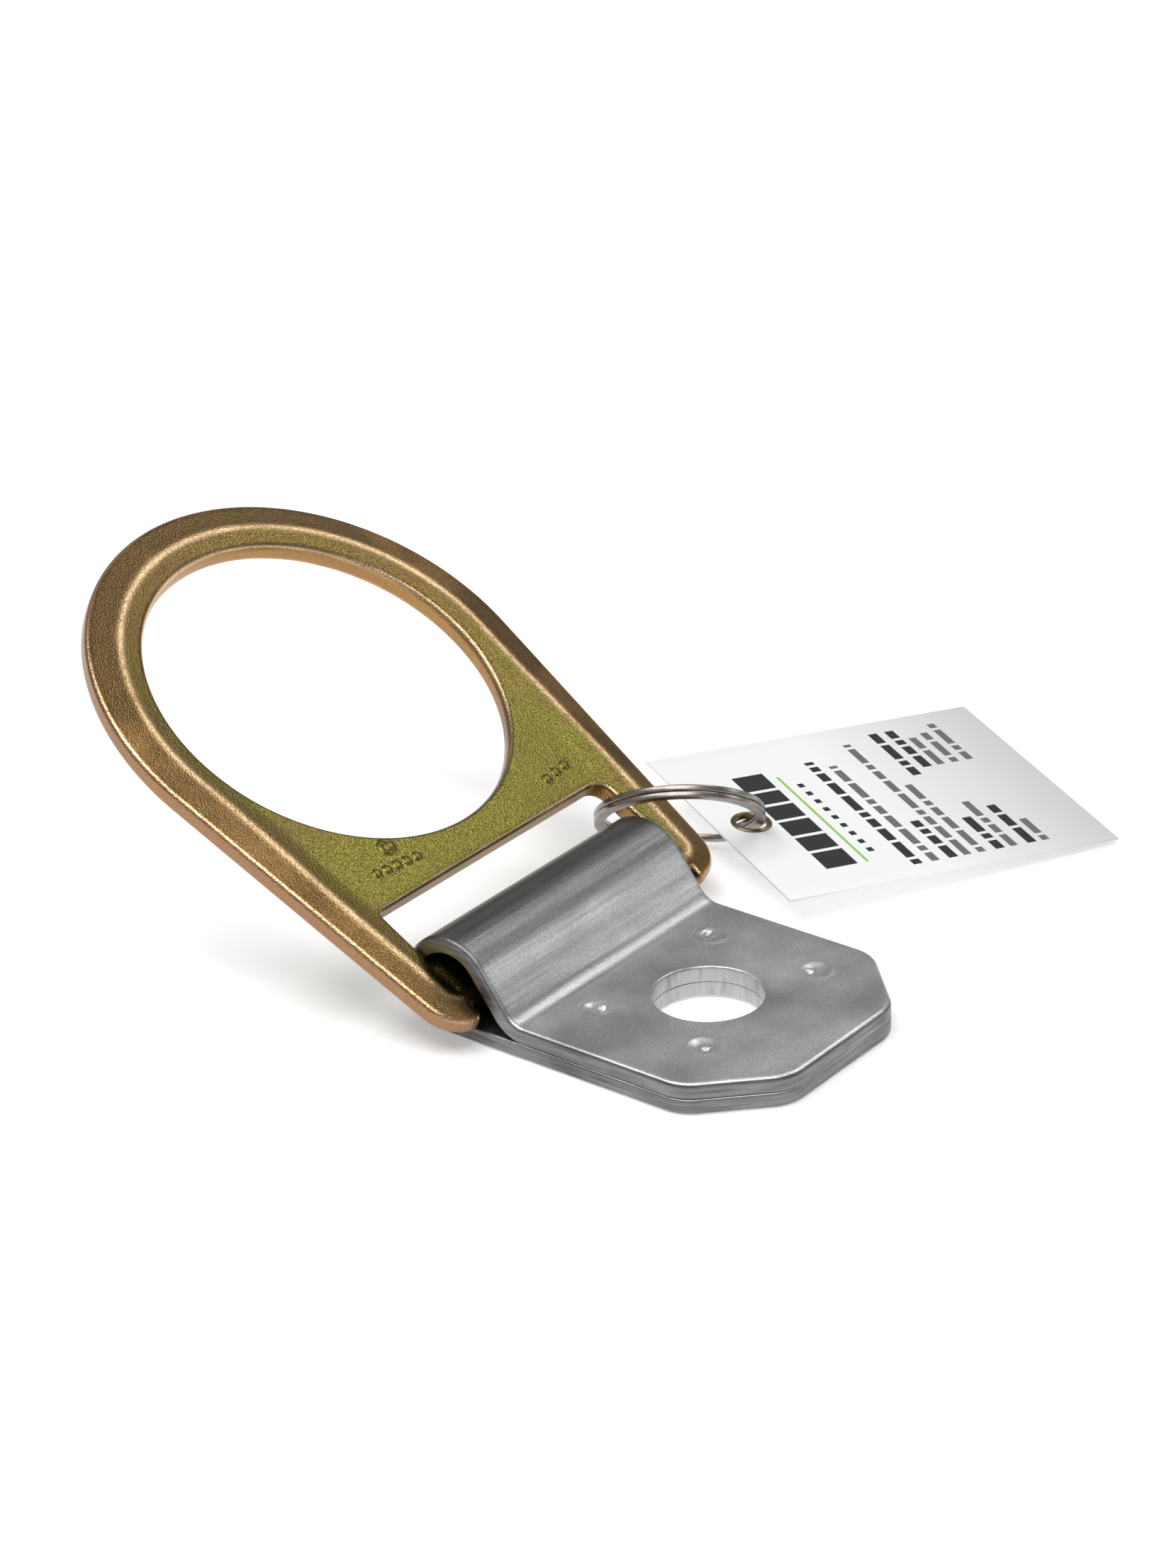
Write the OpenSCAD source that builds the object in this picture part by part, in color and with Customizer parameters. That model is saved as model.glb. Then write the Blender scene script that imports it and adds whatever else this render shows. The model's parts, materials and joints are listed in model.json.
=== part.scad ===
// Folded-strap roof anchor: a bolt-down steel strap that holds a forged D-ring, with a split
// ring and a label card on the ring's leg.
// Frame: +Z up, origin on the bolt hole's axis in the strap's bottom face. The nose points to
// +X, the D-ring lies to -X and its hinge axis runs along Y.

/* [Strap] */
// Width of the steel strap
strap_w = 50.8; // [44:0.1:56]
// Thickness of the strap's sheet, 12 gauge
sheet_t = 2.66; // [2.2:0.01:3.4]
// Gap between the two leaves, along the seam
seam = 0.1; // [0.06:0.01:0.2]
// Bolt axis to the end of the nose
nose_x = 25.4; // [23:0.1:32]
// Size of the nose's two cut corners
nose_cut = 12.1; // [9:0.1:14]
// Radius that softens each corner of the nose
nose_r = 7; // [3:0.5:9]

/* [Bolt hole] */
// Diameter of the bolt hole, clearance for a 5/8 in bolt
bolt_d = 17.46; // [14:0.01:20]

/* [Loop] */
// Bolt axis to the centre of the loop, which is the hinge axis
loop_x = 30.9; // [29:0.1:34]
// Radius of the inside of the loop
loop_r = 5.64; // [5.5:0.01:6.5]
// Angle above horizontal where the loop's front wall leaves the circle
wall_angle = 36; // [32:1:40]
// Radius of the bend at the foot of the loop, on its upper face
foot_r = 4; // [3:0.1:5]

/* [Spot welds] */
// Half the distance between the welds along X
weld_half_x = 10.1; // [9.8:0.1:11]
// Half the distance between the welds along Y
weld_half_y = 14.6; // [12:0.1:16]
// Centre of the four welds, off the bolt axis, along X
weld_off_x = -1; // [-1.2:0.1:0.5]
// Centre of the four welds, off the bolt axis, along Y
weld_off_y = 1; // [-1:0.1:1]
// Diameter of each weld nugget
weld_d = 5; // [4:0.1:5.4]

/* [D-ring] */
// Rise of the D-ring above the strap's plane, as stored
ring_rise = 29.75; // [15:0.05:45]
// Sideways place of the D-ring on its bar, as stored
ring_shift = 2.2; // [-2.2:0.1:2.2]
// Radius of the round eye
eye_r = 31; // [29:0.1:32]
// Hinge axis to the centre of the eye
eye_x = 53.4; // [53:0.1:56]
// Width of the rim round the eye
rim_w = 9.6; // [9:0.1:11]
// Thickness of the forging at its crest
crest_t = 4.6; // [4.4:0.1:5]
// Thickness of the forging at its outer edge
edge_t = 3.2; // [3:0.1:3.6]
// Thickness of the web between the eye and the slot
web_t = 3.7; // [3.4:0.1:4]
// Half the length of the slot that the strap passes through
slot_half = 27.9; // [27.8:0.1:28.5]
// Hinge axis to the slot's edge on the web
slot_x = 15.8; // [15.4:0.1:17]
// Half the width of the D-ring's bar
bar_half = 5; // [4.6:0.1:5.1]
// Hinge axis to the outer ends of the two legs
heel_x = 7.8; // [6.5:0.1:7.8]
// Half the width of the D-ring across the outer ends of its legs
heel_half = 35.1; // [34:0.1:36]

/* [Split ring] */
// Mean diameter of the split ring
split_d = 26.3; // [26:0.1:26.6]
// Width of the ring's flat wire, across the ring
wire_w = 1.65; // [1.5:0.05:1.9]
// Thickness of the ring's flat wire, along the ring's axis
wire_t = 1.05; // [0.9:0.05:1.2]

/* [Tag] */
// Length of the label card
tag_l = 62; // [50:1:70]
// Width of the label card
tag_w = 50; // [40:1:54]
// Thickness of the label card
tag_t = 0.5; // [0.3:0.05:0.8]
// Eyelet's centre to the card's near edge
tag_inset = 6.5; // [5:0.5:8]
// Outer diameter of the eyelet's rolled flanges
eyelet_d = 6.9; // [6.5:0.1:7.5]
// Diameter of the hole in the eyelet
eyelet_hole = 5.2; // [5:0.1:5.4]

/* [Hidden] */
$fn = 96;

eps = 0.01;
loop_out = loop_r + sheet_t;
loop_z = loop_out;
flat_z = 2 * sheet_t + seam;

// The front wall is tangent to the loop at wall_angle and to the foot bend, whose centre is
// above the flat: both tangencies set where the bend stands.
wall_dir = [sin(wall_angle), -cos(wall_angle)];
wall_norm = [cos(wall_angle), sin(wall_angle)];
wall_top = [-loop_x, loop_z] + loop_out * wall_norm;
wall_drop = wall_top[1] - flat_z - foot_r * (1 - wall_norm[1]);
wall_len = wall_drop / cos(wall_angle);
foot_c = wall_top + wall_len * wall_dir + foot_r * wall_norm;

// The nose's corners turn by 45 degrees, so each arc starts this far from its corner.
turn = nose_r * tan(22.5);

// The rim's crest stands inside its outer edge, and the outer bevel falls from it.
crest_in = 5.4;
edge_soft = 0.7;
heel_r = 6.8;
eye_soft = 1.2;
slot_r = 1.8;
bar_crest = 2.8;
bar_edge_t = 3;
bar_bite = 2;
// The web's recess follows the legs, which spread towards the eye.
recess_end = 46;
recess_near = 28.3;
recess_far = 31;

weld_h = 2.4;
dent_r = 4.5;
dent_depth = 0.35;

// The split ring is threaded through the slot's far corner and round the D-ring's leg.
split_at = [-33.64, 37.88, 10.58];
split_tilt = 44.1;
split_turn = 128.5;
split_start = 0;
// Only the step from one coil to the other is a single wire thick.
split_step = 40;
coil_gap = 0.04;
ring_steps = 128;

tag_at = [-26.78, 48.17, 6.88];
tag_heading = 64.7;
tag_slope = 4.3;
tag_roll = 4;
flange_t = 0.35;
barrel_wall = 0.25;

// Points along an arc, from one angle to another.
function arc(c, r, from, to, n) = [
    for (i = [0:n]) let (a = from + (to - from) * i / n) c + r * [cos(a), sin(a)]
];

// Side profile of the strap: bottom leaf, loop, front wall, foot bend and top leaf, out along
// the outer surface and back along the inner one.
module strap_profile() {
    loop_c = [-loop_x, loop_z];
    foot_from = 180 + wall_angle;
    polygon(concat(
        [[nose_x, 0]],
        arc(loop_c, loop_out, 270, wall_angle, 78),
        arc(foot_c, foot_r, foot_from, 270, 12),
        [[nose_x, flat_z], [nose_x, flat_z - sheet_t]],
        arc(foot_c, foot_r + sheet_t, 270, foot_from, 12),
        arc(loop_c, loop_r, wall_angle, 270, 78),
        [[nose_x, sheet_t]]
    ));
}

// Plan of the strap: straight sides and a nose with two cut, softened corners.
module strap_plan() {
    half = strap_w / 2;
    back = -2 * loop_x;
    side_c = [nose_x - nose_cut - turn, half - nose_r];
    end_c = [nose_x - nose_r, half - nose_cut - turn];
    polygon(concat(
        [[back, half]],
        arc(side_c, nose_r, 90, 45, 8),
        arc(end_c, nose_r, 45, 0, 8),
        arc([end_c[0], -end_c[1]], nose_r, 0, -45, 8),
        arc([side_c[0], -side_c[1]], nose_r, -45, -90, 8),
        [[back, -half]]
    ));
}

// Places its children at the four spot welds.
module at_welds() {
    for (sx = [-1, 1], sy = [-1, 1])
        translate([weld_off_x + sx * weld_half_x, weld_off_y + sy * weld_half_y, 0]) children();
}

// One strip of sheet, folded round the D-ring's bar and back onto itself.
module folded_strap() {
    color("gray") difference() {
        intersection() {
            rotate([90, 0, 0]) linear_extrude(height = strap_w + 2, center = true) strap_profile();
            translate([0, 0, -1]) linear_extrude(height = 3 * loop_out) strap_plan();
        }
        translate([0, 0, -1]) cylinder(d = bolt_d, h = flat_z + 2);
        at_welds() translate([0, 0, sheet_t + (seam - weld_h) / 2 - eps])
            cylinder(d = weld_d + 2 * eps, h = weld_h + 2 * eps);
        at_welds() translate([0, 0, flat_z + dent_r - dent_depth]) sphere(r = dent_r);
    }
}

// Four nuggets that join the two leaves.
module spot_welds() {
    color("dimgray") at_welds() translate([0, 0, sheet_t + (seam - weld_h) / 2])
        cylinder(d = weld_d, h = weld_h);
}

// Turns the D-ring's own frame, with X from its bar to its eye, to its place in the loop.
module on_hinge() {
    translate([-loop_x, ring_shift, loop_z]) rotate([0, ring_rise, 0]) rotate([0, 0, 180]) children();
}

// Plan of the D-ring, inset by a given amount, as one slice of a given thickness.
module ring_slice(inset, thick) {
    linear_extrude(height = thick, center = true) hull() {
        translate([eye_x, 0]) circle(r = eye_r + rim_w - inset);
        for (s = [-1, 1])
            translate([heel_r - heel_x, s * (heel_half - heel_r)]) circle(r = heel_r - inset, $fn = 48);
    }
}

// Solid forging with its outer bevel, before the eye and the slot are opened.
module ring_blank() {
    hull() {
        ring_slice(0, edge_t - 2 * edge_soft);
        ring_slice(0.3 * edge_soft, edge_t - 0.6 * edge_soft);
        ring_slice(edge_soft, edge_t);
        ring_slice(crest_in, crest_t);
    }
}

// Cutter for the eye, with its rim rounded over at both faces.
module eye_cutter() {
    top = crest_t / 2;
    translate([eye_x, 0, 0]) rotate_extrude() {
        translate([0, -crest_t]) square([eye_r, 2 * crest_t]);
        for (s = [0, 1]) mirror([0, s]) difference() {
            translate([0, top - eye_soft]) square([eye_r + eye_soft, eye_soft + 1]);
            translate([eye_r + eye_soft, top - eye_soft]) circle(r = eye_soft);
        }
    }
}

// Cutter for the slot, which runs out through the bar's side so that the bar can be set in.
module slot_cutter() {
    back = -2 * heel_x;
    front = slot_x - slot_r;
    translate([back, -slot_half, -crest_t]) cube([front - back, 2 * slot_half, 2 * crest_t]);
    translate([front - eps, slot_r - slot_half, -crest_t])
        cube([slot_r + eps, 2 * (slot_half - slot_r), 2 * crest_t]);
    for (s = [-1, 1]) translate([front, s * (slot_half - slot_r), -crest_t])
        cylinder(r = slot_r, h = 2 * crest_t);
}

// Shallow recess of the web, cut from both faces.
module web_recess() {
    for (s = [0, 1]) mirror([0, 0, s]) translate([0, 0, web_t / 2]) linear_extrude(height = crest_t)
        polygon([
            [slot_x - 1, -recess_near], [recess_end, -recess_far], [recess_end, recess_far],
            [slot_x - 1, recess_near]
        ]);
}

// Flat-sided bar between the two legs, which turns inside the strap's loop.
module ring_bar() {
    length = 2 * (slot_half + bar_bite);
    hull() {
        cube([2 * bar_half, length, bar_edge_t], center = true);
        cube([2 * bar_crest, length, crest_t], center = true);
    }
}

// Forged D-ring: bar, two spreading legs, web and round eye.
module d_ring() {
    color("darkgoldenrod") on_hinge() {
        difference() {
            ring_blank();
            eye_cutter();
            slot_cutter();
            web_recess();
        }
        ring_bar();
    }
}

// Height of the split ring's wire along its length, measured in degrees from its first end.
function coil_z(a) =
    let (f = min(1, max(0, (a - (360 - split_step)) / split_step)), s = f * f * (3 - 2 * f))
    (s - 0.5) * (wire_t + coil_gap);

// Corners of the wire's section at one station of the coil.
function coil_ring(a) = [
    for (c = [[-1, -1], [1, -1], [1, 1], [-1, 1]])
        let (r = split_d / 2 + c[0] * wire_w / 2)
            [r * cos(a), r * sin(a), coil_z(a) + c[1] * wire_t / 2]
];

// Split ring: two flat coils of one wire, with a single step between them.
module split_ring() {
    last = 720 - split_step;
    rings = [for (i = [0:ring_steps]) coil_ring(i * last / ring_steps)];
    points = [for (r = rings, p = r) p];
    sides = [
        for (i = [0:ring_steps - 1], k = [0:3])
            [4 * i + k, 4 * i + (k + 1) % 4, 4 * i + 4 + (k + 1) % 4, 4 * i + 4 + k]
    ];
    ends = [[3, 2, 1, 0], [for (k = [0:3]) 4 * ring_steps + k]];
    color("silver") translate(split_at) rotate([0, split_tilt, split_turn])
        rotate([0, 0, split_start]) polyhedron(points = points, faces = concat(sides, ends));
}

// Turns the card's own frame, with its origin at the eyelet, to its place on the split ring.
module on_split_ring() {
    translate(tag_at) rotate([tag_roll, tag_slope, tag_heading]) children();
}

// Label card with the hole for its eyelet.
module tag_card() {
    color("white") on_split_ring() difference() {
        translate([-tag_inset, -tag_w / 2, -tag_t / 2]) cube([tag_l, tag_w, tag_t]);
        translate([0, 0, -1]) cylinder(d = eyelet_hole + 2 * barrel_wall + 2 * eps, h = 2);
    }
}

// Metal eyelet: a short barrel with a rolled flange on each face of the card.
module tag_eyelet() {
    inner = eyelet_hole / 2;
    outer = eyelet_d / 2;
    roll = flange_t / 2;
    color("tan") on_split_ring() rotate_extrude() {
        translate([inner, -tag_t / 2 - roll]) square([barrel_wall, tag_t + flange_t]);
        for (s = [-1, 1]) translate([0, s * (tag_t / 2 + roll + eps)]) {
            translate([inner + roll, -roll]) square([outer - inner - flange_t, flange_t]);
            translate([inner + roll, 0]) circle(r = roll);
            translate([outer - roll, 0]) circle(r = roll);
        }
    }
}

folded_strap();
spot_welds();
d_ring();
split_ring();
tag_card();
tag_eyelet();
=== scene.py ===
import json
import math

import bmesh
import bpy
from mathutils import Matrix, Vector
from mathutils.geometry import delaunay_2d_cdt


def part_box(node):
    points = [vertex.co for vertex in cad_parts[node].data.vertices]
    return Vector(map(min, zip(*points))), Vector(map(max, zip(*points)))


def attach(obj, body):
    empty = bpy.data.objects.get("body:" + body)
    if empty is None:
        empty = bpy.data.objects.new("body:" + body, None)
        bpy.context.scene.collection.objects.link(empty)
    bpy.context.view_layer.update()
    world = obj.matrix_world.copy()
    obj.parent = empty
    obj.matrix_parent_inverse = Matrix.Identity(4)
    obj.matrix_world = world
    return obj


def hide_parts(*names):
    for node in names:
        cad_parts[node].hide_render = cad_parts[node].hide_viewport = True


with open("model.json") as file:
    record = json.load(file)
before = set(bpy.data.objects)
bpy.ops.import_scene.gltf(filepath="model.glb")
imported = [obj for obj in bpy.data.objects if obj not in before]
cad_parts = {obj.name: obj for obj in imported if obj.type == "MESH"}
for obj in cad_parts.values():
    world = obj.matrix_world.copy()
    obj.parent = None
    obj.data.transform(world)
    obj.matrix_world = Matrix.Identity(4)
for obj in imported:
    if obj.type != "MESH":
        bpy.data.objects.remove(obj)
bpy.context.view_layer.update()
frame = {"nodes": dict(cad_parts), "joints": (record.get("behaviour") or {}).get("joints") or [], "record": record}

# The pieces are drawn in millimetres, and add_piece turns them into metres. Materials, the floor,
# the camera and the lights are in metres.
MM = 0.001


def from_frame():
    """Sizes of the strap and its hinge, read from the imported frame."""
    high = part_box("folded_strap")[1]
    out = high.z / MM / 2
    hinge = next(j for j in frame["joints"] if j["child"] == "ring")["pos_m"]
    bolt = next(m for m in frame["record"]["mounts"] if m["name"] == "bolt_hole")
    return {
        "half_w": high.y / MM,
        "nose_x": high.x / MM,
        "loop_out": out,
        "loop_x": -hinge[0] / MM,
        "loop_z": hinge[2] / MM,
        "bolt_r": bolt["dims"]["r_mm"],
    }


strap = from_frame()

# Strap: two leaves of sheet on z = 0, with the bolt hole round the origin and the nose at +X.
SHEET_T = 2.66
SEAM = 0.1
FLAT_Z = 2 * SHEET_T + SEAM
WALL_ANGLE = math.radians(36)
FOOT_R = 4.0
NOSE_CUT = 12.1
NOSE_R = 7.0
# Middles of the electrodes' marks, which sit a little off the bolt hole's centre.
WELDS = [(-11.1, -13.6), (-11.1, 15.6), (9.1, 15.6), (9.1, -13.6)]

# D-ring, in coordinates of its own: u runs from the bar's axis to the eye, v across, w up.
RING_RISE = math.radians(29.75)
RING_SHIFT = 2.2
EYE_U = 53.4
EYE_R = 31.0
RIM_R = 40.6
HEEL_U = -1.0
HEEL_V = 28.3
HEEL_R = 6.8
SLOT_HALF = 27.9
SLOT_U = 15.8
BAR_HALF = 5.0
BAR_CREST = 2.8
# Half thicknesses of the forging: on its crests, at its outer edge, at the bar's edge, in its web.
CREST_H = 2.3
EDGE_H = 1.6
BAR_EDGE_H = 1.5
WEB_H = 1.75
# Fall from the crest to the web for each millimetre, and how softly a ridge and a valley blend.
INNER_FALL = 0.135
RIDGE = 0.15
VALLEY = 0.03

# Split ring: its middle, its tilt and turn, the radius of the coil's middle, and its flat wire.
SPLIT_AT = Vector((-33.64, 37.88, 10.58))
SPLIT_TILT = math.radians(44.1)
SPLIT_TURN = math.radians(128.5)
SPLIT_R = 13.15
WIRE_W = 1.65
WIRE_T = 1.05

# Card: its hole's middle and turn about X, Y and Z, its size, and the hole's distance from its end.
TAG_AT = Vector((-26.78, 48.17, 6.88))
TAG_TURN = [math.radians(a) for a in (4.0, 4.3, 64.7)]
TAG_L = 62.0
TAG_W = 50.0
TAG_T = 0.5
TAG_INSET = 6.5
EYELET_R = 3.45
EYELET_HOLE_R = 2.6


# ---------------------------------------------------------------- helpers

def ramp(a, b, x):
    """0 below a, 1 above b, and a smooth step between them."""
    t = min(1.0, max(0.0, (x - a) / (b - a)))
    return t * t * (3 - 2 * t)


def arc(cx, cy, r, start, end, count):
    """Points along an arc, angles in degrees, both ends included."""
    step = math.radians(end - start) / count
    first = math.radians(start)
    return [
        (cx + r * math.cos(first + i * step), cy + r * math.sin(first + i * step))
        for i in range(count + 1)
    ]


def between(a, b, count):
    """Points between two points, both ends left out."""
    return [
        tuple(p + (q - p) * i / count for p, q in zip(a, b))
        for i in range(1, count)
    ]


def add_piece(name, verts, faces, materials, body, node, face_slots=None, sharp=None):
    """A smooth-shaded mesh piece, from vertices in millimetres, that stands for a CAD node."""
    mesh = bpy.data.meshes.new(name)
    mesh.from_pydata([tuple(c * MM for c in v) for v in verts], [], faces)
    for m in materials:
        mesh.materials.append(m)
    if face_slots:
        for poly, index in zip(mesh.polygons, face_slots):
            poly.material_index = index
    bm = bmesh.new()
    bm.from_mesh(mesh)
    bmesh.ops.remove_doubles(bm, verts=bm.verts, dist=2e-6)
    bmesh.ops.recalc_face_normals(bm, faces=bm.faces)
    bm.to_mesh(mesh)
    bm.free()
    for poly in mesh.polygons:
        poly.use_smooth = True
    if sharp is not None:
        mesh.set_sharp_from_angle(angle=math.radians(sharp))
    obj = bpy.data.objects.new(name, mesh)
    bpy.context.scene.collection.objects.link(obj)
    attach(obj, body)
    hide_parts(node)
    return obj


def grid_faces(rows, columns, closed=False, offset=0):
    """Quads between rows of equal length. A closed row joins its last point to its first."""
    last = columns if closed else columns - 1
    return [
        (
            offset + r * columns + c,
            offset + r * columns + (c + 1) % columns,
            offset + (r + 1) * columns + (c + 1) % columns,
            offset + (r + 1) * columns + c,
        )
        for r in range(rows - 1)
        for c in range(last)
    ]


def add_rows(verts, faces, rows, closed=True):
    """Adds rows of points with the quads between them, and returns the number of quads."""
    base = len(verts)
    verts += [point for row in rows for point in row]
    made = grid_faces(len(rows), len(rows[0]), closed=closed, offset=base)
    faces += made
    return len(made)


class Nodes:
    """A small helper that builds a material's node tree."""

    def __init__(self, name):
        self.material = bpy.data.materials.new(name)
        self.material.use_nodes = True
        self.tree = self.material.node_tree
        self.bsdf = self.tree.nodes["Principled BSDF"]
        self.coords = self.tree.nodes.new("ShaderNodeTexCoord")

    def link(self, source, target):
        self.tree.links.new(source, target)

    def mapped(self, scale):
        """Object coordinates, scaled along each axis."""
        node = self.tree.nodes.new("ShaderNodeMapping")
        node.inputs["Scale"].default_value = scale
        self.link(self.coords.outputs["Object"], node.inputs["Vector"])
        return node.outputs["Vector"]

    def noise(self, scale, detail=2.0, rough=0.5, stretch=(1, 1, 1)):
        """Fractal noise. A stretch below 1 draws it out along that axis."""
        node = self.tree.nodes.new("ShaderNodeTexNoise")
        node.inputs["Scale"].default_value = scale
        node.inputs["Detail"].default_value = detail
        node.inputs["Roughness"].default_value = rough
        self.link(self.mapped(stretch), node.inputs["Vector"])
        return node.outputs["Fac"]

    def voronoi(self, scale):
        """Distance to the nearest of many scattered points."""
        node = self.tree.nodes.new("ShaderNodeTexVoronoi")
        node.inputs["Scale"].default_value = scale
        self.link(self.mapped((1, 1, 1)), node.inputs["Vector"])
        return node.outputs["Distance"]

    def curve(self, source, stops):
        """A colour ramp through (position, colour or grey) stops."""
        node = self.tree.nodes.new("ShaderNodeValToRGB")
        cells = node.color_ramp.elements
        while len(cells) < len(stops):
            cells.new(0.5)
        for cell, (at, shade) in zip(cells, stops):
            cell.position = at
            colour = shade if isinstance(shade, tuple) else (shade, shade, shade)
            cell.color = (*colour, 1)
        self.link(source, node.inputs["Fac"])
        return node.outputs["Color"]

    def math(self, operation, a, b, c=0.0):
        """A sum on sockets or plain numbers. MULTIPLY_ADD gives a * b + c."""
        node = self.tree.nodes.new("ShaderNodeMath")
        node.operation = operation
        for socket, value in zip(node.inputs, (a, b, c)):
            if isinstance(value, (int, float)):
                socket.default_value = value
            else:
                self.link(value, socket)
        return node.outputs[0]

    def mix(self, factor, a, b, blend="MIX"):
        """A blend of two colours."""
        node = self.tree.nodes.new("ShaderNodeMix")
        node.data_type = "RGBA"
        node.blend_type = blend
        for socket, value in zip((node.inputs[0], node.inputs[6], node.inputs[7]), (factor, a, b)):
            if isinstance(value, tuple):
                socket.default_value = (*value, 1)
            elif isinstance(value, (int, float)):
                socket.default_value = value
            else:
                self.link(value, socket)
        return node.outputs[2]

    def attribute(self, name):
        """A number stored on the mesh's vertices."""
        node = self.tree.nodes.new("ShaderNodeAttribute")
        node.attribute_name = name
        return node.outputs["Fac"]

    def bump(self, height, strength, distance, normal=None):
        """A normal tilted by a height, on top of another normal if one is given."""
        node = self.tree.nodes.new("ShaderNodeBump")
        node.inputs["Strength"].default_value = strength
        node.inputs["Distance"].default_value = distance
        self.link(height, node.inputs["Height"])
        if normal is not None:
            self.link(normal, node.inputs["Normal"])
        return node.outputs["Normal"]

    def separate(self):
        """Object coordinates as X, Y and Z."""
        node = self.tree.nodes.new("ShaderNodeSeparateXYZ")
        self.link(self.coords.outputs["Object"], node.inputs[0])
        return node.outputs

    def finish(self, metallic, colour=None, rough=None, normal=None):
        """Sets the shader's sockets and returns the material."""
        self.bsdf.inputs["Metallic"].default_value = metallic
        for name, value in (("Base Color", colour), ("Roughness", rough), ("Normal", normal)):
            if isinstance(value, tuple):
                self.bsdf.inputs[name].default_value = (*value, 1)
            elif isinstance(value, (int, float)):
                self.bsdf.inputs[name].default_value = value
            elif value is not None:
                self.link(value, self.bsdf.inputs[name])
        return self.material


# ---------------------------------------------------------------- materials

CARD_SPECULAR = 0.35


def strap_material():
    """Zinc-plated sheet steel: fine grain, soft stains, draw lines along the loop, and painted shade on its crown.
    """
    n = Nodes("sheet_steel_and_shade")
    grain = n.noise(2600, 2, 0.6)
    stain = n.noise(70, 4, 0.55)
    lines = n.noise(900, 3, 0.6, (1, 0.035, 1))
    bands = n.noise(170, 2, 0.5, (1, 0.05, 1))
    # The draw lines show behind x = -19 mm, and fade out by x = -15 mm on the flat leaves.
    behind = n.math("MULTIPLY_ADD", n.separate()["X"], -30.0)
    where = n.curve(behind, [(0.45, 0.06), (0.58, 1.0)])
    tone = n.curve(stain, [(0.28, 0.52), (0.72, 0.96)])
    drawn = n.math("ADD", n.math("MULTIPLY", lines, 0.4), n.math("MULTIPLY", bands, 0.6))
    drawn = n.curve(drawn, [(0.33, 0.34), (0.5, 0.52), (0.68, 0.85)])
    # Painted shade: the loop is darker on its crown, behind x = -28 mm, than on its front wall.
    ahead = n.math("MULTIPLY_ADD", n.separate()["X"], 50.0, 2.0)
    crown_shade = n.curve(ahead, [(0.62, 0.36), (0.84, 1.0)])
    drawn = n.mix(1.0, drawn, crown_shade, "MULTIPLY")
    colour = n.mix(where, tone, drawn)
    speck = n.curve(grain, [(0.3, 0.72), (0.7, 1.0)])
    colour = n.mix(1.0, colour, speck, "MULTIPLY")
    rough = n.curve(stain, [(0.2, 0.30), (0.8, 0.44)])
    normal = n.bump(grain, 0.35, 0.00006)
    normal = n.bump(n.math("MULTIPLY", lines, where), 0.5, 0.0001, normal)
    return n.finish(1.0, colour, rough, normal)


def cut_material():
    """Sheared edge of the sheet: the same steel, with lines that run along the cut, painted dark as shade on the
    strap's sides.
    """
    n = Nodes("sheared_steel_and_shade")
    lines = n.noise(1500, 3, 0.6, (0.05, 0.05, 1))
    blotch = n.noise(160, 3, 0.6, (0.5, 0.5, 1.5))
    # Painted shade: both curves keep the cut edge dark, as a shaded side of the strap.
    lined = n.curve(lines, [(0.3, 0.08), (0.7, 0.30)])
    blotched = n.curve(blotch, [(0.3, 0.08), (0.7, 0.34)])
    colour = n.mix(0.45, lined, blotched)
    return n.finish(1.0, colour, 0.42, n.bump(lines, 0.5, 0.0001))


def hole_material():
    """Punched wall of the bolt hole: pale, with short marks along the punch."""
    n = Nodes("punched_steel")
    marks = n.noise(1100, 3, 0.6, (1, 1, 0.12))
    colour = n.curve(marks, [(0.3, 0.34), (0.42, 0.50), (0.75, 0.60)])
    return n.finish(0.9, colour, 0.5, n.bump(marks, 0.6, 0.00012))


def weld_material():
    """Fused steel of the nuggets, blued by the heat."""
    n = Nodes("fused_steel")
    heat = n.noise(500, 3, 0.6)
    colour = n.curve(heat, [(0.3, (0.14, 0.13, 0.16)), (0.7, (0.34, 0.32, 0.31))])
    return n.finish(1.0, colour, 0.5, n.bump(heat, 0.4, 0.0001))


def zinc_material():
    """Yellow-passivated zinc over a blasted forging: its film turns from olive to gold to copper, with rubbed
    edges and a painted highlight along the crest.
    """
    n = Nodes("yellow_zinc_and_highlight")
    grain = n.voronoi(3600)
    fine = n.noise(5200, 2, 0.6)
    cloud = n.noise(75, 4, 0.55)
    film = n.math("ADD", n.attribute("film"), n.math("MULTIPLY_ADD", cloud, 0.60, -0.27))
    colour = n.curve(film, [
        (0.02, (0.185, 0.165, 0.037)),
        (0.18, (0.19, 0.138, 0.042)),
        (0.38, (0.20, 0.12, 0.050)),
        (0.58, (0.42, 0.24, 0.085)),
        (0.80, (0.40, 0.22, 0.10)),
        (0.98, (0.37, 0.21, 0.11)),
    ])
    speck = n.math("ADD", n.math("MULTIPLY", grain, 0.8), n.math("MULTIPLY", fine, 0.6))
    speck = n.curve(speck, [(0.30, 0.50), (0.50, 0.82), (0.80, 1.0)])
    colour = n.mix(1.0, colour, speck, "MULTIPLY")
    # Rubbed edges, and a painted highlight along the crest, both mixed towards a pale gold.
    rubbed_and_highlit = n.math("MULTIPLY", n.attribute("wear_and_highlight"), n.math("MULTIPLY_ADD", cloud, 1.6, -0.2))
    colour = n.mix(rubbed_and_highlit, colour, (0.95, 0.70, 0.42))
    rough = n.curve(cloud, [(0.25, 0.20), (0.75, 0.30)])
    normal = n.bump(grain, 0.45, 0.00009)
    normal = n.bump(fine, 0.4, 0.00007, normal)
    return n.finish(1.0, colour, rough, normal)


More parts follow.
